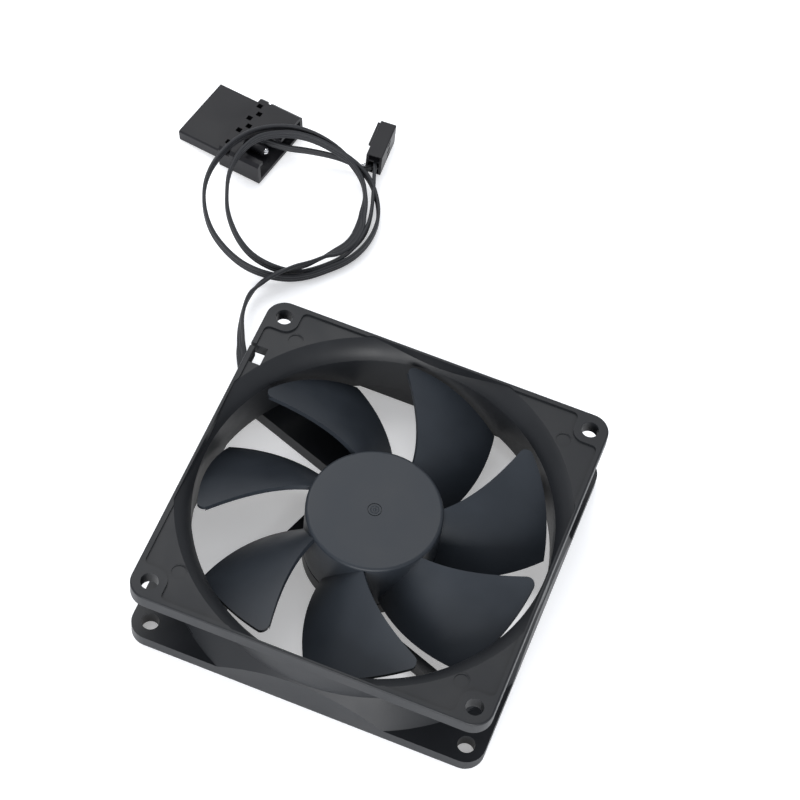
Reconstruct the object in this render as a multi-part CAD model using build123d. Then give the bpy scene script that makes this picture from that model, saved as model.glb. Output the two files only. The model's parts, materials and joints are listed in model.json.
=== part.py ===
from build123d import *
import math
import os

# 92 mm case fan, millimetres. Origin: centre of the fan on the surface it lies on, +Z towards the
# intake side. The duct axis is Z, and the fan's sides are parallel to X and Y.

# How far a cutting shape runs past the face that it cuts.
OVER = 1.0

# --- Fan frame ---
SIDE = 92.0
HEIGHT = 25.0
CORNER_R = 5.0
FLANGE_T = 4.2
FLANGE_EDGE_R = 0.5
HOLE_PITCH = 82.5
HOLE_R = 2.2
BORE_R = 44.6
WALL_R = 45.7
WALL_FOOT_R = 50.8
WALL_CONE_TOP = 11.9
INTAKE_R = 48.8
INTAKE_H = 4.4
INTAKE_BULGE = (46.3, 1.8)
OUTLET_R = 49.8
OUTLET_H = 8.0
SIDE_SKIN = 0.8
RECESS_DEPTH = 0.6
RECESS_RIM = 1.4
PAD_SIZE = 9.4
PAD_OVERHANG = 0.6
PAD_R = 3.4
PAD_NECK_R = 1.5
EJECTOR_R = 1.9
EJECTOR_DEPTH = 0.2
EJECTOR_XY = 36.0

# --- Cable opening in the intake flange ---
CABLE_HOLE_X = (-44.4, -41.35)
CABLE_HOLE_Y = (25.7, 31.0)
CABLE_SLIT_W = 1.0

# --- Motor base and struts ---
BASE_R = 17.0
BASE_TOP = 4.5
BASE_FLOOR = 1.4
BASE_RIM_T = 1.4
BASE_LAP = 0.5
LABEL_RECESS = 0.4
LABEL_RIM = 1.0
LABEL_T = 0.25
LABEL_GAP = 0.3
STRUT_COUNT = 4
STRUT_ANGLE = 160.3
STRUT_OFFSET = 16.3
STRUT_W = 2.7
STRUT_SPAN = (2.0, 50.0)
GUSSET = ((43.5, -4.4), (46.5, -4.9), (48.2, -7.0), (50.0, -7.0), (50.0, -4.4))
CABLE_STRUT_OFFSET = 12.9
CABLE_STRUT_W = 7.0
CABLE_STRUT_FLANK = 1.2
CHANNEL_W = 4.2
CHANNEL_TOP = 3.2
CHANNEL_IN_BASE = (4.0, 14.0)
CHANNEL_IN_STRUT = (13.0, 46.5)
CHANNEL_IN_WALL = (45.2, 55.0)
CHANNEL_WALL_FLOOR = 0.8
CHANNEL_HEADROOM = 1.6
BOSS_T = 1.6
BOSS_H = 1.2
POST_COUNT = 3
POST_ANGLE = 25.0
POST_R = 1.0
POST_AT = 11.0

# --- Shaft and bearing ---
SHAFT_R = 1.5
SHAFT_BOTTOM = 2.35
SHAFT_TOP = 20.4
BEARING_BORE_R = 1.54
BEARING_R = 3.0
BEARING_Z = (4.4, 14.4)
HOLDER_R = 4.2
HOLDER_Z = (0.8, 15.8)
PLUG_T = 0.7
PAD_T = 0.8
THRUST_R = 2.4
GROOVE_Z = (3.4, 3.8)
GROOVE_R = 1.2
SHAFT_CHAMFER = 0.25
RING_R = 2.3
SEAL_T = 0.5
SEAL_GAP = 0.2
SLINGER_Z = (15.1, 15.5)
SLINGER_R = 2.6
BUSHING_R = 3.2
BUSHING_Z = (16.4, 20.4)

# --- Stator ---
CORE_Z = (7.2, 13.2)
CORE_RING_R = 6.2
ARM_W = 3.0
ARM_COUNT = 4
ARM_ANGLE = 45.0
SHOE_R = (10.4, 12.2)
SHOE_HALF_ANGLE = 35.0
INSULATOR_T = 0.7
WINDING_R = (6.6, 9.8)
WINDING_BUILD = 1.2
ARM_GAP = 0.05

# --- Circuit board ---
BOARD_R = 15.0
BOARD_Z = (3.0, 4.0)
CHIP = (4.2, 3.2, 1.2)
CAPACITOR_R = 1.9
CAPACITOR_H = 1.2
CHIP_AT = (90.0, 12.4)
CAPACITOR_AT = (200.0, 10.6)
RESISTOR = (1.0, 2.0, 0.6)
RESISTOR_ANGLES = (20.0, 40.0, 320.0)
RESISTOR_AT = 11.4
SOLDER_R = 0.7
SOLDER_ANGLES = (118.0, 125.0, 132.0)
SOLDER_AT = 13.2
SMALL_EDGE = 0.2
BOARD_NOTCH = (12.0, 8.0)
BOARD_NOTCH_AT = 18.0
BOARD_GAP = 0.3

# --- Rotor ---
HUB_R = 17.0
HUB_Z = (5.0, 22.0)
HUB_EDGE_R = 0.9
YOKE_R = 15.4
YOKE_T = 0.8
YOKE_Z = (6.5, 19.6)
MAGNET_T = 2.0
MAGNET_H = 10.0
GATE_R = 1.8
GATE_W = 0.2
GATE_DEPTH = 0.3

# --- Blades ---
BLADE_COUNT = 7
BLADE_TIP_R = 43.2
BLADE_T = 1.25
BLADE_THINNING = 0.35
LEAD_Z = 20.95
LEAD_Z_RISE = 0.015
TRAIL_Z = 7.15
TRAIL_Z_RISE = 0.075
LEAD_ANGLE = 77.6
LEAD_SWEEP = 1.21
LEAD_CURVE = -0.0116
TRAIL_ANGLE = 41.3
TRAIL_SWEEP = 0.92
CAMBER_FLAT = 0.44
TIP_CORNER_R = 1.9
TIP_CORNER_ANGLE = 65.5
BLADE_MID_ANGLE = 72.0
BLADE_PLANES = (12.5, 16.0, 20.0, 24.5, 29.0, 33.5, 38.5, 44.0)
BLADE_STEPS = 8
BLADE_ROOT_SINK = 0.8
PLANE_PASSES = 12

# --- Leads ---
LEAD_W = 2.9
LEAD_T = 1.0
POWER_LEAD_W = 1.9
LEAD_INNER_Z = 2.1
LEAD_BEND_T = (7.5, 45.4, 49.2)
LEAD_EXIT_T = 50.2
LEAD_EXIT_Z = 6.0
LEAD_ROUTE = [
    (-42.95, 29.1, 6.0),
    (-47.0, 30.6, 6.1),
    (-51.2, 37.6, 6.8),
    (-54.6, 45.2, 5.0),
    (-57.9, 52.4, 3.4),
    (-58.0, 60.0, 3.8),
    (-56.2, 65.6, 4.6),
]
TAIL_ROUTE = [
    (-40.6, 102.8, 6.6),
    (-41.7, 107.0, 5.7),
    (-42.9, 111.3, 5.2),
]
POWER_ROUTE = [
    (-43.9, 111.3, 2.4),
    (-44.4, 109.3, 2.4),
    (-46.9, 108.1, 2.6),
    (-51.0, 108.8, 3.2),
    (-57.0, 108.2, 3.2),
    (-63.0, 106.9, 3.6),
    (-69.0, 105.2, 4.3),
    (-74.8, 105.9, 4.4),
]

# --- Loose coil of the fan lead, leaning on the power plug ---
COIL_CENTRE = (-58.2, 88.0, 7.2)
COIL_OUTER = (24.4, 22.8)
COIL_INNER = (15.8, 18.0)
COIL_LEAN = 12.4
COIL_LEAN_AXIS = 45.0
COIL_H = 3.2

# --- Three-pin fan plug, lying on its narrow side ---
FAN_PLUG_AT = (-43.3, 111.3, 0.0)
FAN_PLUG_ANGLE = 92.8
FAN_PLUG_L = 12.3
FAN_PLUG_W = 4.5
FAN_PLUG_H = 7.6
FAN_PLUG_EDGE_R = 0.3
FAN_PLUG_KEY = 0.8
KEY_FROM = 4.2
KEY_INSET = 1.0
PIN_PITCH = 2.54
WIRE_CELL = (3.4, 0.7, 1.0)
PIN_CELL = 0.5
LANCE_WINDOW = (5.0, 7.6)
LANCE = (5.4, 6.2)
CONTACT_SPAN = (3.5, 11.5)
CONTACT_HALF = 0.4

# --- Four-pin power plug ---
POWER_PLUG_AT = (-81.1, 107.2, 3.55)
POWER_PLUG_ANGLE = -11.1
POWER_PLUG_PITCH = -5.5
SHROUD_L = 13.2
SHROUD_W = 21.7
SHROUD_H = 7.06
SHROUD_WALL = 1.1
SHROUD_FLOOR = 2.6
SHROUD_CHAMFER = 0.9
BODY_L = 13.6
BODY_W = 20.6
BODY_Z = (1.3, 5.1)
BODY_EDGE_R = 0.6
SPIGOT = (1.4, 1.3, 0.9)
SPIGOT_GAP = 0.1
SOCKET_R = 1.35
SOCKET_DEPTH = 9.0
POWER_PITCH = 5.08
POWER_PIN_R = 1.05
POWER_PIN_Z = 3.2
POWER_PIN_COUNT = 4
POWER_PIN_START = -11.1
POWER_PIN_TIP = 0.6
POWER_PIN_REACH = 10.8
NOTCH_ROWS = ((1.35, 0.0), (2.85, 0.5))
NOTCH_HALF = 0.75
NOTCH_FLOOR = 5.3
WINDOW_V = (-8.6, 0.4)
WINDOW_U = 9.2
WINDOW_DEPTH = 1.6


def tube(r_in, r_out, z0, z1):
    """A round tube about the duct axis."""
    ring = Circle(r_out) - Circle(r_in)
    return Pos(0, 0, z0) * extrude(ring, z1 - z0)


def disc(r, z0, z1):
    return Pos(0, 0, z0) * extrude(Circle(r), z1 - z0)


def box_between(x, y, z):
    """A box from its lowest to its highest corner, each given as a pair per axis."""
    size = [b - a for a, b in (x, y, z)]
    middle = [(a + b) / 2 for a, b in (x, y, z)]
    return Pos(*middle) * Box(*size)


def turned(profile):
    """A solid of revolution about Z from (radius, height) corners."""
    face = make_face(Polyline(*[(r, 0, z) for r, z in profile], close=True))
    return revolve(face, Axis.Z)


def strut_place(angle, offset=CABLE_STRUT_OFFSET):
    """The frame at a strut's foot point: X runs outwards along the strut."""
    a = math.radians(angle)
    foot = (math.sin(a) * offset, -math.cos(a) * offset, 0)
    return Pos(*foot) * Rot(0, 0, angle)


def corners(at):
    return [(sx * at, sy * at) for sx in (-1, 1) for sy in (-1, 1)]


def flange(z0):
    plate = extrude(RectangleRounded(SIDE, SIDE, CORNER_R), FLANGE_T)
    outer = plate.faces().sort_by(Axis.Z)[-1 if z0 > 0 else 0]
    plate = fillet(outer.edges(), FLANGE_EDGE_R)
    return Pos(0, 0, z0) * plate


def frame_wall():
    """The duct's wall between the flanges: a cone from the outlet flange, then a plain ring."""
    low, high = FLANGE_T, HEIGHT - FLANGE_T
    body = turned(
        [
            (0, low - OVER),
            (WALL_FOOT_R, low - OVER),
            (WALL_FOOT_R, low),
            (WALL_R, WALL_CONE_TOP),
            (WALL_R, high + OVER),
            (0, high + OVER),
        ]
    )
    return body & (Pos(0, 0, HEIGHT / 2) * Box(SIDE, SIDE, HEIGHT))


def duct_space():
    """The air space: the bore, the long outlet cone and the rounded intake, inside the side skins."""
    floor = HEIGHT - RECESS_DEPTH
    bulge_r, bulge_drop = INTAKE_BULGE
    lower = [(0, -OVER), (OUTLET_R, -OVER), (OUTLET_R, 0), (BORE_R, OUTLET_H), (BORE_R, floor - INTAKE_H)]
    upper = [(INTAKE_R, floor), (INTAKE_R, HEIGHT + OVER), (0, HEIGHT + OVER), (0, -OVER)]
    outline = Polyline(*[(r, 0, z) for r, z in lower])
    outline += ThreePointArc(
        (BORE_R, 0, floor - INTAKE_H), (bulge_r, 0, floor - bulge_drop), (INTAKE_R, 0, floor)
    )
    outline += Polyline(*[(r, 0, z) for r, z in upper])
    space = revolve(make_face(outline), Axis.Z)
    inner = SIDE - 2 * SIDE_SKIN
    return space & (Pos(0, 0, HEIGHT / 2) * Box(inner, inner, HEIGHT + 4))


def intake_recess():
    """The shallow sunk area of the intake flange, between the rim and the four corner pads."""
    inner = SIDE - 2 * RECESS_RIM
    area = RectangleRounded(inner, inner, CORNER_R - RECESS_RIM)
    pad_at = SIDE / 2 + PAD_OVERHANG - PAD_SIZE / 2
    for x, y in corners(pad_at):
        area -= Pos(x, y) * RectangleRounded(PAD_SIZE, PAD_SIZE, PAD_R)
    recess = extrude(area, RECESS_DEPTH + OVER)
    uprights = recess.edges().filter_by(Axis.Z)
    necks = [e for e in uprights if max(abs(e.center().X), abs(e.center().Y)) > inner / 2 - PAD_NECK_R]
    return Pos(0, 0, HEIGHT - RECESS_DEPTH) * fillet(necks, PAD_NECK_R)


def cable_opening():
    """The lead's hole in the intake flange and the slit into its far end."""
    deep = (HEIGHT - FLANGE_T - OVER, HEIGHT + OVER)
    hole_side = CABLE_HOLE_X[0]
    hole_end = CABLE_HOLE_Y[1]
    hole = box_between(CABLE_HOLE_X, CABLE_HOLE_Y, deep)
    slit = box_between((-SIDE / 2 - OVER, hole_side + OVER), (hole_end - CABLE_SLIT_W, hole_end), deep)
    return hole + slit


def lead_channel():
    """The space for the lead: out of the base, along the wide strut and up through the wall."""
    w = (-CHANNEL_W / 2, CHANNEL_W / 2)
    inside = box_between(CHANNEL_IN_BASE, w, (BASE_FLOOR, CHANNEL_TOP))
    groove = box_between(CHANNEL_IN_STRUT, w, (-OVER, CHANNEL_TOP))
    outlet_z = (CHANNEL_WALL_FLOOR, LEAD_EXIT_Z + CHANNEL_HEADROOM)
    outlet = box_between(CHANNEL_IN_WALL, w, outlet_z)
    return strut_place(STRUT_ANGLE) * (inside + groove + outlet)


def struts():
    """The wide strut that holds the lead, its gusset, and the narrow ones a part-turn further on."""
    ring = tube(BASE_R - OVER, OUTLET_R + OVER, 0, BASE_TOP)
    half = CABLE_STRUT_W / 2
    wide = box_between(STRUT_SPAN, (-half - CABLE_STRUT_FLANK, half), (0, BASE_TOP))
    gusset = extrude(make_face(Polyline(*GUSSET, close=True)), BASE_TOP)
    cable_place = strut_place(STRUT_ANGLE)
    bars = [cable_place * wide & ring, cable_place * gusset & ring]
    narrow = box_between(STRUT_SPAN, (-STRUT_W / 2, STRUT_W / 2), (0, BASE_TOP))
    for i in range(1, STRUT_COUNT):
        place = strut_place(STRUT_ANGLE - i * 360 / STRUT_COUNT, STRUT_OFFSET)
        bars.append(place * narrow & ring)
    return bars


def motor_base():
    base = disc(BASE_R, 0, BASE_TOP)
    base -= disc(BASE_R - BASE_RIM_T, BASE_FLOOR, BASE_TOP + OVER)
    base -= disc(BASE_R - LABEL_RIM, -OVER, LABEL_RECESS)
    base += tube(HOLDER_R, HOLDER_R + BOSS_T, LABEL_RECESS, BASE_FLOOR + BOSS_H)
    base -= disc(HOLDER_R, -OVER, BASE_TOP + OVER)
    for i in range(POST_COUNT):
        a = math.radians(POST_ANGLE + 360 / POST_COUNT * i)
        post = Pos(POST_AT * math.cos(a), POST_AT * math.sin(a), BASE_FLOOR)
        base += post * extrude(Circle(POST_R), BOARD_Z[0] - BASE_FLOOR)
    return base


def motor_label():
    return disc(BASE_R - LABEL_RIM - LABEL_GAP, LABEL_RECESS - LABEL_T, LABEL_RECESS)


def frame_housing():
    body = flange(0) + flange(HEIGHT - FLANGE_T) + frame_wall()
    body -= duct_space()
    body -= intake_recess()
    for x, y in corners(EJECTOR_XY):
        floor = HEIGHT - RECESS_DEPTH - EJECTOR_DEPTH
        body -= Pos(x, y, floor) * extrude(Circle(EJECTOR_R), OVER)
    body -= cable_opening()
    for x, y in corners(HOLE_PITCH / 2):
        body -= Pos(x, y, -OVER) * extrude(Circle(HOLE_R), HEIGHT + 2 * OVER)
    for bar in struts():
        body += bar
    body -= disc(BASE_R - BASE_LAP, -OVER, BASE_TOP + OVER)
    body += motor_base()
    body -= lead_channel()
    return body


def rotor_shaft():
    shaft = disc(SHAFT_R, SHAFT_BOTTOM, SHAFT_TOP)
    shaft = chamfer(shaft.edges(), SHAFT_CHAMFER)
    return shaft - tube(GROOVE_R, SHAFT_R + OVER, *GROOVE_Z)


def stator_outline():
    """The four-pole spider that the core and both insulators share."""
    spider = Circle(CORE_RING_R)
    reach = (SHOE_R[0] + SHOE_R[1]) / 2
    for i in range(ARM_COUNT):
        a = 360 / ARM_COUNT * i + ARM_ANGLE
        spider += Rot(0, 0, a) * Pos(reach / 2, 0) * Rectangle(reach, ARM_W)
        spider += shoe(a)
    return spider - Circle(HOLDER_R)


def shoe(angle):
    """One pole shoe: a ring sector facing the magnet."""
    a = math.radians(SHOE_HALF_ANGLE)
    far = SHOE_R[1] * 2
    wedge = make_face(
        Polyline(
            (0, 0),
            (far * math.cos(a), -far * math.sin(a)),
            (far * math.cos(a), far * math.sin(a)),
            close=True,
        )
    )
    sector = (Circle(SHOE_R[1]) - Circle(SHOE_R[0])) & wedge
    return Rot(0, 0, angle) * sector


def stator_layer(z0, z1):
    return Pos(0, 0, z0) * extrude(stator_outline(), z1 - z0)


def coil_winding(i):
    """One copper winding, a rounded block round its pole arm."""
    length = WINDING_R[1] - WINDING_R[0]
    z0, z1 = CORE_Z[0] - INSULATOR_T, CORE_Z[1] + INSULATOR_T
    tall = z1 - z0
    outer = Box(length, ARM_W + 2 * WINDING_BUILD, tall + 2 * WINDING_BUILD)
    outer = fillet(outer.edges().filter_by(Axis.X), WINDING_BUILD * 0.9)
    inner = Box(length + OVER, ARM_W + 2 * ARM_GAP, tall + 2 * ARM_GAP)
    middle = (WINDING_R[0] + WINDING_R[1]) / 2
    angle = 360 / ARM_COUNT * i + ARM_ANGLE
    return Rot(0, 0, angle) * Pos(middle, 0, (z0 + z1) / 2) * (outer - inner)


def circuit_board():
    board = tube(HOLDER_R + BOARD_GAP, BOARD_R, *BOARD_Z)
    notch = Pos(0, -BOARD_NOTCH_AT) * Rectangle(*BOARD_NOTCH)
    return board - extrude(notch, BOARD_R)


def board_part(angle, r, shape):
    """A part placed on top of the board at a radius and angle."""
    return Rot(0, 0, angle) * Pos(r, 0, BOARD_Z[1]) * shape


def driver_chip():
    package = Pos(0, 0, CHIP[2] / 2) * Box(CHIP[1], CHIP[0], CHIP[2])
    package = chamfer(package.faces().sort_by(Axis.Z)[-1].edges(), SMALL_EDGE)
    return board_part(*CHIP_AT, package)


def board_capacitor():
    can = extrude(Circle(CAPACITOR_R), CAPACITOR_H)
    can = fillet(can.faces().sort_by(Axis.Z)[-1].edges(), SMALL_EDGE)
    return board_part(*CAPACITOR_AT, can)


def board_resistors():
    body = Pos(0, 0, RESISTOR[2] / 2) * Box(*RESISTOR)
    return [board_part(a, RESISTOR_AT, body) for a in RESISTOR_ANGLES]


def solder_joints():
    """Three small solder domes where the lead's wires meet the board."""
    upper_half = Pos(0, 0, OVER) * Box(2 * OVER, 2 * OVER, 2 * OVER)
    dome = Sphere(SOLDER_R) & upper_half
    return [board_part(a, SOLDER_AT, dome) for a in SOLDER_ANGLES]


def inner_lead():
    """The stretch of flat lead that the strut holds, bent up through the wall."""
    z0 = LEAD_INNER_Z
    start, bend, risen = LEAD_BEND_T
    line = [(start, z0), (bend, z0), (risen, LEAD_EXIT_Z), (LEAD_EXIT_T, LEAD_EXIT_Z)]
    half = LEAD_T / 2
    upper = offset_line(line, half)
    lower = offset_line(line, -half)
    outline = Polyline(*[(t, 0, z) for t, z in upper + lower[::-1]], close=True)
    strip = extrude(make_face(outline), LEAD_W / 2, both=True)
    return strut_place(STRUT_ANGLE) * strip


def offset_line(line, d):
    """An open line of (t, z) points moved sideways by d, with mitred corners."""
    moved = []
    for i, (t, z) in enumerate(line):
        normals = []
        for j in (i - 1, i):
            if 0 <= j < len(line) - 1:
                dt = line[j + 1][0] - line[j][0]
                dz = line[j + 1][1] - line[j][1]
                length = math.hypot(dt, dz)
                normals.append((-dz / length, dt / length))
        nt = sum(n[0] for n in normals) / len(normals)
        nz = sum(n[1] for n in normals) / len(normals)
        scale = d / (nt * nt + nz * nz)
        moved.append((t + nt * scale, z + nz * scale))
    return moved


def blade_surface(r, u, side):
    """Angle and height of a blade at radius r, from leading edge (u 0) to trailing edge (u 1)."""
    out = r - HUB_R
    lead = math.radians(LEAD_ANGLE + LEAD_SWEEP * out + LEAD_CURVE * out * out)
    trail = math.radians(TRAIL_ANGLE + TRAIL_SWEEP * out)
    lead_z = LEAD_Z + LEAD_Z_RISE * out
    drop = lead_z - TRAIL_Z - TRAIL_Z_RISE * out
    fall = CAMBER_FLAT * u + (1 - CAMBER_FLAT) * u * u
    slope = drop * (CAMBER_FLAT + 2 * (1 - CAMBER_FLAT) * u)
    run = r * (lead - trail)
    length = math.hypot(run, slope)
    half = side * (BLADE_T - BLADE_THINNING * u) / 2
    angle = lead - (lead - trail) * u - half * slope / length / r
    return angle, lead_z - drop * fall + half * run / length


def blade_face_line(reach, side):
    """Points along one face of a blade, on the plane at a distance from the duct axis."""
    middle = math.radians(BLADE_MID_ANGLE)
    points = []
    for k in range(BLADE_STEPS + 1):
        u = math.sin(math.pi / 2 * k / BLADE_STEPS) ** 2
        r = reach
        for _ in range(PLANE_PASSES):
            angle, z = blade_surface(r, u, side)
            r = reach / math.cos(angle - middle)
        points.append(Vector(reach, reach * math.tan(angle - middle), z))
    return points


def blade_section(reach):
    """A blade's section, square-cut at both edges."""
    upper = blade_face_line(reach, 1)
    lower = blade_face_line(reach, -1)[::-1]
    back = Edge.make_line(upper[-1], lower[0])
    front = Edge.make_line(lower[-1], upper[0])
    return Wire([Edge.make_spline(upper), back, Edge.make_spline(lower), front])


def tip_corner():
    """What is cut off to round a blade's corner where its leading edge meets its tip."""
    half = math.radians(TIP_CORNER_ANGLE / 2)
    angle, _ = blade_surface(BLADE_TIP_R, 0, 1)
    tip = Vector(BLADE_TIP_R * math.cos(angle), BLADE_TIP_R * math.sin(angle))
    along_tip = Vector(math.sin(angle), -math.cos(angle))
    inwards = along_tip.rotate(Axis.Z, -math.degrees(half))
    centre = tip + inwards * (TIP_CORNER_R / math.sin(half))
    run = TIP_CORNER_R / math.tan(half)
    on_tip = tip + along_tip * run
    on_lead = tip + along_tip.rotate(Axis.Z, -2 * math.degrees(half)) * run
    kite = make_face(Polyline(on_tip, tip - inwards * 2 * OVER, on_lead, centre, close=True))
    kite -= Pos(centre.X, centre.Y) * Circle(TIP_CORNER_R)
    return extrude(kite, HEIGHT)


def blade():
    solid = Solid.make_loft([blade_section(reach) for reach in BLADE_PLANES])
    solid = Rot(0, 0, BLADE_MID_ANGLE) * solid
    solid = solid & tube(HUB_R - BLADE_ROOT_SINK, BLADE_TIP_R, 0, HEIGHT)
    return solid - tip_corner()


def impeller():
    hub = disc(HUB_R, *HUB_Z)
    hub = fillet(hub.faces().sort_by(Axis.Z)[-1].edges(), HUB_EDGE_R)
    one = blade()
    for i in range(BLADE_COUNT):
        hub += Rot(0, 0, -360 / BLADE_COUNT * i) * one
    hub -= disc(YOKE_R, HUB_Z[0] - OVER, YOKE_Z[1])
    hub -= disc(BUSHING_R, YOKE_Z[1] - OVER, BUSHING_Z[1])
    hub -= tube(GATE_R - GATE_W, GATE_R, HUB_Z[1] - GATE_DEPTH, HUB_Z[1] + OVER)
    return hub


def rotor_yoke():
    cup = disc(YOKE_R, *YOKE_Z) - disc(YOKE_R - YOKE_T, YOKE_Z[0] - OVER, YOKE_Z[1] - YOKE_T)
    return cup - disc(BUSHING_R, 0, HEIGHT)


def lead_tube(points, diameter):
    """A round tube along straight runs joined by arcs as large as the runs allow."""
    corners_at = [Vector(*p) for p in points]
    radii = []
    for a, b, c in zip(corners_at, corners_at[1:], corners_at[2:]):
        turn = math.radians((b - a).get_angle(c - b))
        shorter = min((b - a).length, (c - b).length)
        radii.append(0.45 * shorter / math.tan(turn / 2))
    path = FilletPolyline(*points, radius=radii)
    start = Plane(origin=path @ 0, z_dir=path % 0)
    solid = sweep(start * Circle(diameter / 2), path=path)
    volume = math.pi * diameter**2 / 4 * path.length
    print("radii", [round(r, 1) for r in radii], "length", round(path.length, 1))
    print("tube volume", round(solid.volume, 1), "section x length", round(volume, 1))
    return solid


def lead_coil():
    """The outer shape of the loose turns, a flat ring that leans on the power plug."""
    ring = Ellipse(*COIL_OUTER) - Ellipse(*COIL_INNER)
    slab = extrude(ring, COIL_H / 2, both=True)
    lean = Rot(0, 0, COIL_LEAN_AXIS) * Rot(COIL_LEAN, 0, 0) * Rot(0, 0, -COIL_LEAN_AXIS)
    return Pos(*COIL_CENTRE) * lean * slab


def fan_plug_place():
    """At the foot of the plug's wire end, X towards its mating end."""
    return Pos(*FAN_PLUG_AT) * Rot(0, 0, FAN_PLUG_ANGLE)


def fan_pin_heights():
    return [FAN_PLUG_H / 2 + i * PIN_PITCH for i in (-1, 0, 1)]


def fan_plug_housing():
    w, h = FAN_PLUG_W / 2, FAN_PLUG_H
    body = box_between((0, FAN_PLUG_L), (-w, w), (0, h))
    body = fillet(body.edges().filter_by(Axis.X), FAN_PLUG_EDGE_R)
    key = FAN_PLUG_KEY
    for z in (KEY_INSET, h - KEY_INSET - key):
        body += box_between((KEY_FROM, FAN_PLUG_L), (w - FAN_PLUG_EDGE_R, w + key), (z, z + key))
    cell_depth, cell_wall, cell_half = WIRE_CELL
    for z in fan_pin_heights():
        cell_z = (z - cell_half, z + cell_half)
        slot_z = (z - PIN_CELL, z + PIN_CELL)
        body -= box_between((-OVER, cell_depth), (cell_wall - w, w - cell_wall), cell_z)
        body -= box_between((0, FAN_PLUG_L + OVER), (-PIN_CELL, PIN_CELL), slot_z)
        body -= box_between(LANCE_WINDOW, (-w - OVER, -CONTACT_HALF), slot_z)
    return fan_plug_place() * body


def fan_plug_contacts():
    half = (-CONTACT_HALF, CONTACT_HALF)
    lance = box_between(LANCE, (-FAN_PLUG_W / 3, 0), half)
    contact = box_between(CONTACT_SPAN, half, half) + lance
    place = fan_plug_place()
    return [place * Pos(0, 0, z) * contact for z in fan_pin_heights()]


def power_plug_place():
    """The joint between both halves, X towards the open end. The thin half droops to the floor."""
    turn = Rot(0, 0, POWER_PLUG_ANGLE) * Rot(0, POWER_PLUG_PITCH, 0)
    return Pos(*POWER_PLUG_AT) * turn * Pos(0, 0, -SHROUD_H / 2)


def pin_rows():
    middle = (POWER_PIN_COUNT - 1) / 2
    return [(i - middle) * POWER_PITCH for i in range(POWER_PIN_COUNT)]


def power_plug_body():
    y = BODY_W / 2
    low, high = BODY_Z
    length, side_gap, flat_gap = SPIGOT
    body = box_between((-BODY_L, 0), (-y, y), BODY_Z)
    body = fillet(body.edges().filter_by(Axis.X), BODY_EDGE_R)
    spigot_y = (side_gap - y, y - side_gap)
    body += box_between((-OVER, length), spigot_y, (low + flat_gap, high - flat_gap))
    for v in pin_rows():
        body -= round_hole(-BODY_L - OVER, v, SOCKET_R, SOCKET_DEPTH + OVER)
        body -= round_hole(-BODY_L, v, POWER_PIN_R, BODY_L + 2 * length)
    return power_plug_place() * body


def round_hole(u, v, r, length):
    """A cutter along the power plug, at the height of its pins."""
    return extrude(Pos(u, v, POWER_PIN_Z) * Rot(0, 90, 0) * Circle(r), length)


def power_plug_shroud():
    y = SHROUD_W / 2
    body = box_between((0, SHROUD_L), (-y, y), (0, SHROUD_H))
    long_edges = body.edges().filter_by(Axis.X)
    body = chamfer(long_edges.group_by(Axis.Z)[-1], SHROUD_CHAMFER)
    w = SHROUD_WALL
    body -= box_between((SHROUD_FLOOR, SHROUD_L + OVER), (w - y, y - w), (w, SHROUD_H - w))
    length, side_gap, flat_gap = SPIGOT
    half = BODY_W / 2 - side_gap + SPIGOT_GAP
    socket_z = (BODY_Z[0] + flat_gap - SPIGOT_GAP, BODY_Z[1] - flat_gap + SPIGOT_GAP)
    body -= box_between((-OVER, length + SPIGOT_GAP), (-half, half), socket_z)
    for u, v in notch_places():
        notch_u, notch_v = ((at - NOTCH_HALF, at + NOTCH_HALF) for at in (u, v))
        body -= box_between(notch_u, notch_v, (NOTCH_FLOOR, SHROUD_H + OVER))
    body -= wire_window()
    for v in pin_rows():
        body -= round_hole(-OVER, v, POWER_PIN_R, SHROUD_FLOOR + 2 * OVER)
    return power_plug_place() * body


def notch_places():
    """Two staggered rows of notches across the shroud, over the pins and between them."""
    places = []
    for u, shift in NOTCH_ROWS:
        rows = pin_rows() + ([pin_rows()[-1] + POWER_PITCH] if shift else [])
        places += [(u, v - shift * POWER_PITCH) for v in rows]
    return places


def wire_window():
    """The round-ended gap in the shroud's top wall, open to the mating end."""
    r = (WINDOW_V[1] - WINDOW_V[0]) / 2
    middle = sum(WINDOW_V) / 2
    slot = Pos(WINDOW_U, middle) * Circle(r)
    slot += Pos(WINDOW_U + r, middle) * Rectangle(2 * r, 2 * r)
    return Pos(0, 0, SHROUD_H - WINDOW_DEPTH) * extrude(slot, WINDOW_DEPTH + OVER)


def power_plug_pins():
    place = power_plug_place()
    start = POWER_PIN_START
    pin = extrude(Circle(POWER_PIN_R), POWER_PIN_REACH - start)
    pin = chamfer(pin.edges().sort_by(Axis.Z)[-1], POWER_PIN_TIP)
    return [place * Pos(start, v, POWER_PIN_Z) * Rot(0, 90, 0) * pin for v in pin_rows()]


def as_one(parts):
    return Compound(children=[Part(p.wrapped) if not isinstance(p, Part) else p for p in parts])


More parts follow.
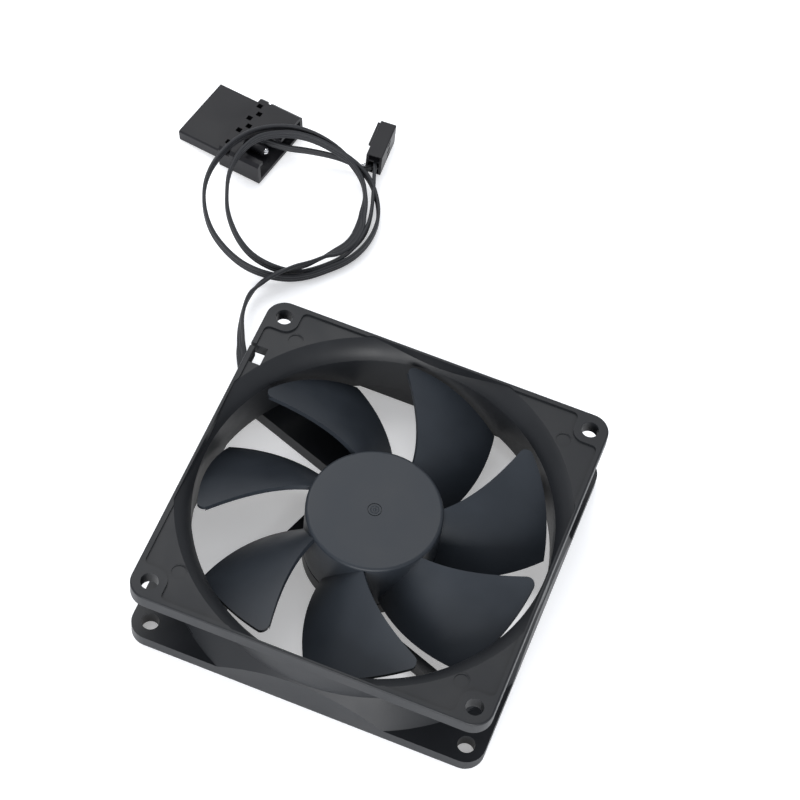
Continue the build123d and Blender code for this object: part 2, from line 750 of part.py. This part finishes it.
def nodes():
    """Every sub-part by name."""
    top = BEARING_Z[1]
    plug_top = HOLDER_Z[0] + PLUG_T
    parts = {
        "frame_housing": frame_housing(),
        "bearing_holder": tube(BEARING_R, HOLDER_R, *HOLDER_Z),
        "bearing_end_plug": disc(BEARING_R, HOLDER_Z[0], plug_top),
        "thrust_pad": disc(THRUST_R, plug_top, plug_top + PAD_T),
        "sleeve_bearing": tube(BEARING_BORE_R, BEARING_R, *BEARING_Z),
        "oil_seal_washer": tube(SHAFT_R + SEAL_GAP, BEARING_R, top, top + SEAL_T),
        "stator_core": stator_layer(*CORE_Z),
        "insulator_upper": stator_layer(CORE_Z[1], CORE_Z[1] + INSULATOR_T),
        "insulator_lower": stator_layer(CORE_Z[0] - INSULATOR_T, CORE_Z[0]),
        "circuit_board": circuit_board(),
        "driver_chip": driver_chip(),
        "board_capacitor": board_capacitor(),
        "board_resistors": as_one(board_resistors()),
        "lead_solder_joints": as_one(solder_joints()),
        "motor_label": motor_label(),
        "inner_lead": inner_lead(),
        "impeller": impeller(),
        "rotor_yoke": rotor_yoke(),
        "ring_magnet": tube(
            YOKE_R - YOKE_T - MAGNET_T, YOKE_R - YOKE_T, YOKE_Z[0], YOKE_Z[0] + MAGNET_H
        ),
        "rotor_shaft": rotor_shaft(),
        "shaft_bushing": tube(SHAFT_R, BUSHING_R, *BUSHING_Z),
        "retaining_ring": tube(GROOVE_R, RING_R, *GROOVE_Z),
        "slinger_washer": tube(SHAFT_R, SLINGER_R, *SLINGER_Z),
        "fan_lead_tube": lead_tube(LEAD_ROUTE, LEAD_W),
        "fan_lead_coil": lead_coil(),
        "fan_lead_tail": lead_tube(TAIL_ROUTE, LEAD_W),
        "fan_plug_housing": fan_plug_housing(),
        "fan_plug_contacts": as_one(fan_plug_contacts()),
        "power_lead_tube": lead_tube(POWER_ROUTE, POWER_LEAD_W),
        "power_plug_body": power_plug_body(),
        "power_plug_shroud": power_plug_shroud(),
        "power_plug_pins": as_one(power_plug_pins()),
    }
    for i in range(ARM_COUNT):
        parts[f"coil_winding_{i + 1}"] = coil_winding(i)
    return parts


os.makedirs("parts", exist_ok=True)
for name, shape in nodes().items():
    export_step(shape, f"parts/{name}.step")
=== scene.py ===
import bpy
import json
import math
from mathutils import Matrix, Vector


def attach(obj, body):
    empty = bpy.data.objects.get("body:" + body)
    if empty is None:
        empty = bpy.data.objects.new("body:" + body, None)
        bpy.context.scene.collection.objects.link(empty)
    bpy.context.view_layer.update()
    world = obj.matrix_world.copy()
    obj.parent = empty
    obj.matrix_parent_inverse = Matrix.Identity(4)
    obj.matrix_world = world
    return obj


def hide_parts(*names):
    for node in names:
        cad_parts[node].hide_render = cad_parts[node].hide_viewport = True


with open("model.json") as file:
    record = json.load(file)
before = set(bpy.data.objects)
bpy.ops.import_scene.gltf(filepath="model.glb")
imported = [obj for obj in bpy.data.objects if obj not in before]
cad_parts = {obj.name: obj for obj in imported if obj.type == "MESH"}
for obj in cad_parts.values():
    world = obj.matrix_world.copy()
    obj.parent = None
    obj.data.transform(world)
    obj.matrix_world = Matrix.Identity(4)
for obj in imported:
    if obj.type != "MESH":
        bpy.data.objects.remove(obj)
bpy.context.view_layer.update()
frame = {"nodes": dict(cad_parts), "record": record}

MM = 0.001
HOUSING = "housing"
ROTOR = "rotor"

# --- Camera: turn about the fan, height above it, roll, and where it stands in its own axes ---
CAMERA_AZIMUTH = 14.767
CAMERA_ELEVATION = 57.589
CAMERA_ROLL = 7.798
CAMERA_AT = (7.768, 38.391, 639.04)
CAMERA_LENS = 114.56
CAMERA_SENSOR = 36.0
CAMERA_NEAR = 0.01

# --- Fan lead: a flat lead of three wires, points in millimetres ---
LEAD_ROUTE = [
    (-42.95, 29.1, 6.0),
    (-47.0, 30.6, 6.1),
    (-50.6, 36.6, 6.6),
    (-53.4, 42.4, 6.7),
    (-55.4, 47.2, 5.9),
    (-56.8, 52.4, 4.7),
    (-57.4, 57.2, 3.8),
    (-56.4, 61.0, 4.0),
    (-54.2, 64.2, 5.4),
]
# The loose turns: radius and height at each twelfth of a turn, from the crossing onwards.
COIL_CENTRE = (-58.0, 88.0)
COIL_START = -70.0
COIL_STEP = 30.0
COIL_PARTS = 2
COIL_TURNS = [
    (21.2, 6.0),
    (18.0, 4.0),
    (19.4, 3.6),
    (19.4, 3.5),
    (22.0, 4.1),
    (22.3, 7.2),
    (23.1, 9.6),
    (23.3, 10.9),
    (22.9, 11.5),
    (23.8, 10.8),
    (24.3, 8.1),
    (23.6, 4.8),
    (22.0, 2.3),
    (20.8, 1.9),
    (22.4, 1.9),
    (23.9, 2.1),
    (23.9, 4.3),
    (21.2, 7.5),
    (20.9, 9.8),
    (20.8, 11.0),
    (18.8, 11.0),
    (17.6, 9.6),
    (18.2, 7.1),
    (19.6, 4.6),
    (20.2, 2.7),
    (19.5, 2.2),
    (20.5, 2.3),
    (21.7, 2.9),
]
# How the flat lead turns about its own line: share of its length, and degrees from lying flat.
LEAD_TWIST = [
    (0.0, 0.0),
    (0.03, 10.0),
    (0.045, 55.0),
    (0.07, 80.0),
    (0.09, 85.0),
    (0.106, 50.0),
    (0.118, 50.0),
    (0.137, 80.0),
    (0.155, 62.0),
    (0.17, 8.0),
    (0.192, 5.0),
    (0.21, 50.0),
    (0.23, 90.0),
    (0.86, 90.0),
    (0.885, 50.0),
    (0.91, 55.0),
    (0.94, 90.0),
    (1.0, 90.0),
]
TAIL_ROUTE = [
    (-39.7, 102.2, 3.4),
    (-41.6, 107.4, 3.8),
    (-42.9, 111.3, 4.0),
]
LEAD_WIRES = 3
# Both leads: round wires joined by webs, each wire let into the next.
WIRE_R = 0.5
WIRE_LAP = 0.05
WEB_HALF = 0.22
OUTLINE_STEPS = 6
ROUTE_STEPS = 8

# --- Power lead: two wires ---
POWER_WIRES = 2
POWER_TWIST = [(0.0, 90.0), (1.0, 60.0)]
POWER_ROUTE = [
    (-43.9, 111.3, 2.4),
    (-45.2, 109.8, 2.4),
    (-48.3, 109.9, 2.8),
    (-54.1, 109.9, 3.3),
    (-61.8, 108.1, 3.8),
    (-66.2, 106.6, 4.0),
    (-70.4, 105.9, 4.3),
    (-74.8, 105.6, 4.4),
]

# --- Power plug: its place, and the pieces in its open half in its own axes ---
POWER_PLUG_AT = (-81.1, 107.2, 3.55)
POWER_PLUG_ANGLE = -11.1
POWER_PLUG_PITCH = -5.5
POWER_PLUG_HALF_H = 3.53
PIN_ROWS = (-7.62, -2.54, 2.54, 7.62)
PIN_Z = 3.2
# Sleeve on a pin: where it starts, its length, and its inner and outer radius.
SLEEVE = (2.65, 7.1, 1.07, 1.4)
PLUG_WIRES = [
    [(8.0, -0.6, 3.6), (6.2, -1.6, 5.2), (4.9, -4.4, 5.4), (3.9, -7.0, 5.2), (3.2, -8.4, 4.4)],
    [(8.0, -0.2, 3.6), (6.4, -0.6, 5.0), (5.2, -1.4, 5.3), (4.2, -2.6, 5.2), (3.2, -3.4, 4.8)],
]

# --- Crimps at the small plug: middle and turn of each, then length, inner and outer radius ---
CRIMPS = [((-45.7, 109.8, 4.3), 20.0), ((-44.1, 107.7, 4.2), 70.0)]
CRIMP = (1.0, 0.15, 0.42)

# --- Round beads, tubes and domes: points along and round them ---
BEAD_STEPS = 32
BEAD_SIDES = 10
TUBE_SIDES = 24
DOME_RINGS = 5
DOME_SIDES = 20

# --- Marks of the moulds: rings as radius and half thickness, the nub as radius and height ---
HUB_TOP = 22.0
GATE_RING = (1.0, 0.13)
GATE_NUB = (0.45, 0.26)
FLANGE_TOP = 24.4
EJECTORS = [(-36.0, 36.0), (36.0, 36.0), (36.0, -36.0), (-36.0, -36.0)]
EJECTOR_RIDGE = (2.15, 0.14)
EJECTOR_ARC = (20.0, 150.0)

# --- Finishes: scales in features to a millimetre, tints and gloss as shares or steps ---
NOISE_MIDDLE = (0.35, 0.65)
FLOW_SCALE = 0.08
FLOW_DETAIL = 4.0
FLOW_TINT = (0.9, 1.1)
FLOW_GLOSS = 0.05
GRAIN_DETAIL = 3.0
MARKS_DETAIL = 6.0
MARKS_TINT = 0.85
MARKS_GLOSS = (0.7, 1.3)
TURNS_SCALE = 2.0
TURNS_TINT = 0.5
TURNS_DEPTH = 0.06
TURNS_ROUGHNESS = 0.3

# --- Floor, in metres: its size, its mottle, and its painted glow that stands in for light, dimmed near the fan as painted shade and full far from it ---
FLOOR_HALF = 3.0
FLOOR_PAINTED_GLOW_COLOUR = (1.0, 0.99, 0.98, 1)
FLOOR_MOTTLE = ((0.86, 0.87, 0.89), (0.88, 0.89, 0.91))
# Painted glow near the fan and far from it; the dimmer value near the fan is painted shade.
FLOOR_PAINTED_GLOW = (0.31, 0.43)
FLOOR_PAINTED_SHADE_SPAN = (0.05, 0.16)

# --- Light: the world, and for each lamp its place, aim, size and power, in metres and watts ---
WORLD_COLOUR = (0.92, 0.95, 1.0, 1)
WORLD_STRENGTH = 0.72
LAMPS = {
    "key": ((-0.4, 0.45, 0.95), (0.0, 0.0, 0.0), 0.8, 6.5),
    "front": ((0.2, -0.9, 0.30), (0.0, 0.0, 0.01), 0.6, 12.0),
}


def camera():
    """The camera, turned about the fan's axes."""
    az, el, roll = (math.radians(a) for a in (CAMERA_AZIMUTH, CAMERA_ELEVATION, CAMERA_ROLL))
    back = Vector((math.sin(az) * math.cos(el), -math.cos(az) * math.cos(el), math.sin(el)))
    right = Vector((0, 0, 1)).cross(back).normalized()
    up = back.cross(right)
    right, up = (
        right * math.cos(roll) + up * math.sin(roll),
        up * math.cos(roll) - right * math.sin(roll),
    )
    turn = Matrix((right, up, back)).transposed()
    data = bpy.data.cameras.new("camera")
    data.lens = CAMERA_LENS
    data.sensor_width = CAMERA_SENSOR
    data.clip_start = CAMERA_NEAR
    obj = link("camera", data)
    obj.matrix_world = Matrix.Translation(turn @ Vector(CAMERA_AT) * MM) @ turn.to_4x4()
    bpy.context.scene.camera = obj


def coil_route():
    """Control points of the loose turns, 24 to each turn."""
    points = []
    for i in range((len(COIL_TURNS) - 1) * COIL_PARTS + 1):
        k, part = divmod(i, COIL_PARTS)
        after = COIL_TURNS[min(k + 1, len(COIL_TURNS) - 1)]
        radius, height = (a + (b - a) * part / COIL_PARTS for a, b in zip(COIL_TURNS[k], after))
        angle = math.radians(COIL_START + COIL_STEP * i / COIL_PARTS)
        x = COIL_CENTRE[0] + radius * math.cos(angle)
        y = COIL_CENTRE[1] + radius * math.sin(angle)
        points.append((x, y, height))
    return points


def route_points(name, points):
    """Points along the smooth line of a route, in metres."""
    data = bpy.data.curves.new(name, "CURVE")
    data.dimensions = "3D"
    data.resolution_u = ROUTE_STEPS
    spline = data.splines.new("NURBS")
    spline.points.add(len(points) - 1)
    for point, co in zip(spline.points, points):
        point.co = (*[c * MM for c in co], 1)
    spline.order_u = 3
    spline.use_endpoint_u = True
    obj = link(name, data)
    bpy.context.view_layer.update()
    mesh = bpy.data.meshes.new_from_object(obj)
    line = [v.co.copy() for v in mesh.vertices]
    bpy.data.objects.remove(obj)
    bpy.data.meshes.remove(mesh)
    return line


def link(name, data):
    """A new object of some data, in the scene."""
    obj = bpy.data.objects.new(name, data)
    bpy.context.collection.objects.link(obj)
    return obj


def mesh_object(name, verts, faces):
    """A mesh object from points in metres."""
    mesh = bpy.data.meshes.new(name)
    mesh.from_pydata(verts, [], faces)
    mesh.update()
    for polygon in mesh.polygons:
        polygon.use_smooth = True
    return link(name, mesh)


def wall_faces(rows, around, closed=False):
    """Faces between rows of points, each row a closed ring, and from the last to the first if closed."""
    return [
        (i * around + k, i * around + (k + 1) % around,
         (i + 1) % rows * around + (k + 1) % around, (i + 1) % rows * around + k)
        for i in range(rows if closed else rows - 1)
        for k in range(around)
    ]


def end_faces(rows, around):
    """The two faces that close the first and last row."""
    return [tuple(range(around))[::-1], tuple(range((rows - 1) * around, rows * around))]


def lerp_keys(keys, at):
    """The value at a place between (place, value) keys, eased at each key."""
    for (a, low), (b, high) in zip(keys, keys[1:]):
        if at <= b:
            share = (at - a) / (b - a)
            return low + (high - low) * share * share * (3 - 2 * share)
    return keys[-1][1]


def ribbon_outline(wires):
    """The section of a flat lead: round wires side by side with webs between, in millimetres."""
    pitch = WIRE_R * 2 - WIRE_LAP
    half = (wires - 1) * pitch / 2 + WIRE_R
    centres = [(i - (wires - 1) / 2) * pitch for i in range(wires)]
    steps = OUTLINE_STEPS * wires
    upper = []
    for i in range(steps + 1):
        u = -half * math.cos(math.pi * i / steps)
        near = min(abs(u - c) for c in centres)
        rise = math.sqrt(max(WIRE_R**2 - near**2, 0))
        inside = centres[0] < u < centres[-1]
        upper.append((u, max(rise, WEB_HALF) if inside else rise))
    lower = [(u, -h) for u, h in upper[-2:0:-1]]
    return upper + lower


def ribbon(name, line, outline, twist):
    """A flat lead along a line, turned about it by the twist keys."""
    count = len(line)
    gone = [0.0]
    for a, b in zip(line, line[1:]):
        gone.append(gone[-1] + (b - a).length)
    verts = []
    for i, point in enumerate(line):
        along = (line[min(i + 1, count - 1)] - line[max(i - 1, 0)]).normalized()
        side = along.cross(Vector((0, 0, 1))).normalized()
        up = side.cross(along)
        turn = math.radians(lerp_keys(twist, gone[i] / gone[-1]))
        wide = side * math.cos(turn) + up * math.sin(turn)
        thick = along.cross(wide)
        verts += [point + (wide * u + thick * v) * MM for u, v in outline]
    faces = wall_faces(count, len(outline)) + end_faces(count, len(outline))
    return mesh_object(name, verts, faces)


def nodes_of(material):
    """A material's node tree and its main shader."""
    tree = material.node_tree
    return tree, tree.nodes["Principled BSDF"]


def new_material(name, roughness, metallic=0.0, specular=0.5):
    """A plain material, which the callers add textures to."""
    material = bpy.data.materials.new(name)
    material.use_nodes = True
    tree, shader = nodes_of(material)
    shader.inputs["Roughness"].default_value = roughness
    shader.inputs["Metallic"].default_value = metallic
    shader.inputs["Specular IOR Level"].default_value = specular
    return material


def texture(tree, kind, scale, detail=2.0):
    """A texture in object space, scale in features to a millimetre."""
    place = tree.nodes.new("ShaderNodeTexCoord")
    node = tree.nodes.new(kind)
    node.inputs["Scale"].default_value = scale / MM
    if "Detail" in node.inputs:
        node.inputs["Detail"].default_value = detail
    tree.links.new(place.outputs["Object"], node.inputs["Vector"])
    return node


def spread(tree, value, low, high, target):
    """Feeds a texture's middle range into a shader socket, from low to high."""
    span = tree.nodes.new("ShaderNodeMapRange")
    span.inputs["From Min"].default_value, span.inputs["From Max"].default_value = NOISE_MIDDLE
    span.inputs["To Min"].default_value = low
    span.inputs["To Max"].default_value = high
    tree.links.new(value, span.inputs["Value"])
    tree.links.new(span.outputs["Result"], target)


def tint(tree, value, dark, light, target):
    """Feeds a texture's middle range into a colour socket, from dark to light."""
    ramp = tree.nodes.new("ShaderNodeValToRGB")
    for stop, position, colour in zip(ramp.color_ramp.elements, NOISE_MIDDLE, (dark, light)):
        stop.position = position
        stop.color = (*colour, 1)
    tree.links.new(value, ramp.inputs["Fac"])
    tree.links.new(ramp.outputs["Color"], target)


def bump(tree, shader, height, depth):
    """Bump of a depth in millimetres from a height texture."""
    node = tree.nodes.new("ShaderNodeBump")
    node.inputs["Strength"].default_value = 1.0
    node.inputs["Distance"].default_value = depth * MM
    tree.links.new(height, node.inputs["Height"])
    tree.links.new(node.outputs["Normal"], shader.inputs["Normal"])


def moulded(name, colour, roughness, grain, depth, specular=0.5):
    """Moulded plastic: flow marks in colour and gloss, and the mould's fine grain."""
    material = new_material(name, roughness, specular=specular)
    tree, shader = nodes_of(material)
    flow = texture(tree, "ShaderNodeTexNoise", FLOW_SCALE, FLOW_DETAIL)
    dark, light = ([c * share for c in colour] for share in FLOW_TINT)
    tint(tree, flow.outputs["Fac"], dark, light, shader.inputs["Base Color"])
    low, high = roughness - FLOW_GLOSS, roughness + FLOW_GLOSS
    spread(tree, flow.outputs["Fac"], low, high, shader.inputs["Roughness"])
    grains = texture(tree, "ShaderNodeTexNoise", grain, GRAIN_DETAIL)
    bump(tree, shader, grains.outputs["Fac"], depth)
    return material


def metal(name, colour, roughness, grain, depth):
    """Bare metal, with fine marks in its gloss and surface."""
    material = new_material(name, roughness, metallic=1.0)
    tree, shader = nodes_of(material)
    marks = texture(tree, "ShaderNodeTexNoise", grain, MARKS_DETAIL)
    dark = [c * MARKS_TINT for c in colour]
    tint(tree, marks.outputs["Fac"], dark, colour, shader.inputs["Base Color"])
    low, high = (roughness * share for share in MARKS_GLOSS)
    spread(tree, marks.outputs["Fac"], low, high, shader.inputs["Roughness"])
    bump(tree, shader, marks.outputs["Fac"], depth)
    return material


def wound(name, colour):
    """Enamelled wire, seen as fine parallel turns."""
    material = new_material(name, TURNS_ROUGHNESS, metallic=1.0)
    tree, shader = nodes_of(material)
    turns = texture(tree, "ShaderNodeTexWave", TURNS_SCALE)
    dark = [c * TURNS_TINT for c in colour]
    tint(tree, turns.outputs["Fac"], dark, colour, shader.inputs["Base Color"])
    bump(tree, shader, turns.outputs["Fac"], TURNS_DEPTH)
    return material


def materials():
    """A material for each of the record's slots: colour, roughness, grain, its depth and specular."""
    return {
        "frame_plastic": moulded("frame_plastic", (0.010, 0.011, 0.013), 0.45, 3.0, 0.010, 0.27),
        "rotor_plastic": moulded("rotor_plastic", (0.019, 0.023, 0.029), 0.42, 2.0, 0.004, 0.25),
        "plug_plastic": moulded("plug_plastic", (0.010, 0.010, 0.012), 0.42, 3.0, 0.006, 0.22),
        "lead_sheath": moulded("lead_sheath", (0.018, 0.019, 0.022), 0.48, 4.0, 0.006, 0.3),
        "brass": metal("brass", (0.72, 0.53, 0.25), 0.25, 3.0, 0.002),
        "bronze": metal("bronze", (0.55, 0.36, 0.20), 0.5, 8.0, 0.01),
        "core_steel": metal("core_steel", (0.42, 0.43, 0.45), 0.4, 5.0, 0.005),
        "yoke_steel": metal("yoke_steel", (0.50, 0.50, 0.52), 0.35, 4.0, 0.004),
        "shaft_steel": metal("shaft_steel", (0.75, 0.75, 0.77), 0.12, 6.0, 0.001),
        "magnet": moulded("magnet", (0.060, 0.055, 0.050), 0.7, 6.0, 0.02),
        "insulator_plastic": moulded("insulator_plastic", (0.70, 0.68, 0.60), 0.45, 3.0, 0.005),
        "white_plastic": moulded("white_plastic", (0.75, 0.75, 0.72), 0.4, 3.0, 0.004),
        "board": moulded("board", (0.04, 0.20, 0.09), 0.25, 2.0, 0.004),
        "black_epoxy": moulded("black_epoxy", (0.020, 0.020, 0.022), 0.5, 8.0, 0.006),
        "bare_aluminium": metal("bare_aluminium", (0.75, 0.76, 0.78), 0.3, 4.0, 0.003),
        "solder": metal("solder", (0.70, 0.70, 0.72), 0.2, 2.0, 0.01),
        "label": moulded("label", (0.075, 0.075, 0.085), 0.35, 5.0, 0.003),
        "copper_wire": wound("copper_wire", (0.72, 0.35, 0.16)),
        "contact_metal": metal("contact_metal", (0.82, 0.82, 0.84), 0.18, 3.0, 0.002),
    }


def finish_nodes(slots):
    """Gives every CAD node the material of its slot."""
    for part in frame["record"]["subparts"]:
        data = frame["nodes"][part["node"]].data
        data.materials.clear()
        data.materials.append(slots[part["material_slot"]])


def dress(piece, slots, slot, body=HOUSING):
    """Gives a piece its material, and the body it rides on."""
    piece.data.materials.append(slots[slot])
    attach(piece, body)
    return piece


def cords(slots, at_fan_plug, at_power_plug):
    """The fan lead with its loose turns, and the thinner lead between both plugs."""
    line = route_points("lead_route", LEAD_ROUTE + coil_route() + TAIL_ROUTE)
    lead = dress(ribbon("fan_lead", line, ribbon_outline(LEAD_WIRES), LEAD_TWIST), slots, "lead_sheath")
    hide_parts("fan_lead_tube", "fan_lead_coil", "fan_lead_tail")
    line = route_points("power_route", POWER_ROUTE)
    outline = ribbon_outline(POWER_WIRES)
    power = dress(ribbon("power_lead", line, outline, POWER_TWIST), slots, "lead_sheath")
    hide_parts("power_lead_tube")


def paint_floor_glow_and_shade(tree, target):
    """The floor's painted glow, standing in for light, weaker under the fan than away from it as painted
    shade.
    """
    place = tree.nodes.new("ShaderNodeTexCoord")
    away = tree.nodes.new("ShaderNodeVectorMath")
    away.operation = "LENGTH"
    tree.links.new(place.outputs["Object"], away.inputs[0])
    span = tree.nodes.new("ShaderNodeMapRange")
    span.interpolation_type = "SMOOTHSTEP"
    span.inputs["From Min"].default_value, span.inputs["From Max"].default_value = FLOOR_PAINTED_SHADE_SPAN
    span.inputs["To Min"].default_value, span.inputs["To Max"].default_value = FLOOR_PAINTED_GLOW
    tree.links.new(away.outputs["Value"], span.inputs["Value"])
    tree.links.new(span.outputs["Result"], target)


def swept_ring(name, at, radius, thick, arc=(0.0, 360.0), steps=BEAD_STEPS, around=BEAD_SIDES):
    """A thin round bead along an arc that lies flat at a point, in millimetres."""
    start, end = (math.radians(a) for a in arc)
    verts = []
    for i in range(steps + 1):
        turn = start + (end - start) * i / steps
        taper = thick * (1 if arc[1] - arc[0] == 360 else math.sin(math.pi * (i + 0.5) / (steps + 1)))
        for k in range(around):
            side = 2 * math.pi * k / around
            r = radius + taper * math.cos(side)
            rise = taper * math.sin(side)
            verts.append([(at[0] + r * math.cos(turn)) * MM, (at[1] + r * math.sin(turn)) * MM,
                          (at[2] + rise) * MM])
    faces = wall_faces(steps + 1, around) + end_faces(steps + 1, around)
    return mesh_object(name, verts, faces)


def sleeve(name, place, length, r_in, r_out, sides=TUBE_SIDES):
    """A short tube along the X axis of a place, in millimetres, with its outer ends eased."""
    ease = (r_out - r_in) / 3
    profile = [(0, r_in), (0, r_out - ease), (ease, r_out), (length - ease, r_out),
               (length, r_out - ease), (length, r_in)]
    verts = []
    for along, r in profile:
        for k in range(sides):
            turn = 2 * math.pi * k / sides
            verts.append(place @ Vector((along, r * math.cos(turn), r * math.sin(turn))) * MM)
    return mesh_object(name, verts, wall_faces(len(profile), sides, closed=True))


def dome(name, at, radius, height, sides=DOME_SIDES, rings=DOME_RINGS):
    """A low round nub on a flat face, in millimetres."""
    verts = []
    for i in range(rings):
        lift = math.pi / 2 * i / rings
        for k in range(sides):
            turn = 2 * math.pi * k / sides
            r = radius * math.cos(lift)
            verts.append([(at[0] + r * math.cos(turn)) * MM, (at[1] + r * math.sin(turn)) * MM,
                          (at[2] + height * math.sin(lift)) * MM])
    verts.append([at[0] * MM, at[1] * MM, (at[2] + height) * MM])
    top = len(verts) - 1
    faces = wall_faces(rings, sides)
    last = (rings - 1) * sides
    faces += [(last + k, last + (k + 1) % sides, top) for k in range(sides)]
    faces.append(tuple(range(sides))[::-1])
    return mesh_object(name, verts, faces)


def power_plug_place():
    """The power plug's own axes: X out of its open half, Z up from the plug's underside."""
    turn = Matrix.Rotation(math.radians(POWER_PLUG_ANGLE), 4, "Z")
    turn = turn @ Matrix.Rotation(math.radians(POWER_PLUG_PITCH), 4, "Y")
    return Matrix.Translation(POWER_PLUG_AT) @ turn @ Matrix.Translation((0, 0, -POWER_PLUG_HALF_H))


def pin_sleeves(slots):
    """Dark sleeves on the roots of the power plug's pins."""
    start, length, r_in, r_out = SLEEVE
    made = []
    for i, v in enumerate(PIN_ROWS):
        place = power_plug_place() @ Matrix.Translation((start, v, PIN_Z))
        piece = sleeve(f"pin_sleeve_{i + 1}", place, length, r_in, r_out)
        made.append(dress(piece, slots, "plug_plastic"))
    return made


def plug_wires(slots):
    """The power lead's two wires, parted inside the plug's open half."""
    place = power_plug_place()
    made = []
    for i, route in enumerate(PLUG_WIRES):
        line = route_points("plug_wire_route", [place @ Vector(point) for point in route])
        wire = ribbon(f"plug_wire_{i + 1}", line, ribbon_outline(1), [(0.0, 0.0), (1.0, 0.0)])
        made.append(dress(wire, slots, "lead_sheath"))
    return made


def crimps(slots):
    """Ends of the contacts' crimps, seen where the wires enter the small plug."""
    length, r_in, r_out = CRIMP
    made = []
    for i, (at, angle) in enumerate(CRIMPS):
        place = Matrix.Translation(at) @ Matrix.Rotation(math.radians(angle), 4, "Z")
        place = place @ Matrix.Translation((-length / 2, 0, 0))
        piece = sleeve(f"crimp_{i + 1}", place, length, r_in, r_out)
        made.append(dress(piece, slots, "contact_metal"))
    return made


def mould_marks(slots):
    """The gate's mark on the hub, and the raised edge of each ejector's mark."""
    radius, thick = GATE_RING
    dress(swept_ring("gate_ring", (0, 0, HUB_TOP), radius, thick), slots, "rotor_plastic", ROTOR)
    dress(dome("gate_nub", (0, 0, HUB_TOP), *GATE_NUB), slots, "rotor_plastic", ROTOR)
    for i, (x, y) in enumerate(EJECTORS):
        ridge = swept_ring(f"ejector_ridge_{i + 1}", (x, y, FLANGE_TOP), *EJECTOR_RIDGE, EJECTOR_ARC)
        dress(ridge, slots, "frame_plastic")


def floor():
    """The floor that everything lies on, with a painted glow that stands in for light, dimmed near the
    fan as painted shade.
    """
    half = FLOOR_HALF
    verts = [(-half, -half, 0), (half, -half, 0), (half, half, 0), (-half, half, 0)]
    plane = mesh_object("floor", verts, [(0, 1, 2, 3)])
    material = new_material("floor", 0.9, specular=0.1)
    tree, shader = nodes_of(material)
    # Painted light: the floor glows, dimmed near the fan as painted shade.
    shader.inputs["Emission Color"].default_value = FLOOR_PAINTED_GLOW_COLOUR
    paint_floor_glow_and_shade(tree, shader.inputs["Emission Strength"])
    mottle = texture(tree, "ShaderNodeTexNoise", 0.01)
    tint(tree, mottle.outputs["Fac"], *FLOOR_MOTTLE, shader.inputs["Base Color"])
    plane.data.materials.append(material)


def area_light(name, at, aim, size, power):
    """A square lamp that faces its aim."""
    data = bpy.data.lights.new(name, "AREA")
    data.size = size
    data.energy = power
    lamp = link(name, data)
    lamp.location = at
    lamp.rotation_euler = (Vector(aim) - Vector(at)).to_track_quat("-Z", "Y").to_euler()


def lights():
    """The studio: an even world and the lamps."""
    scene = bpy.context.scene
    scene.view_settings.view_transform = "Standard"
    world = bpy.data.worlds.new("studio")
    world.use_nodes = True
    background = world.node_tree.nodes["Background"]
    background.inputs["Color"].default_value = WORLD_COLOUR
    background.inputs["Strength"].default_value = WORLD_STRENGTH
    scene.world = world
    for name, values in LAMPS.items():
        area_light(name, *values)


camera()
slots = materials()
finish_nodes(slots)
cords(slots, crimps(slots), pin_sleeves(slots) + plug_wires(slots))
mould_marks(slots)
floor()
lights()
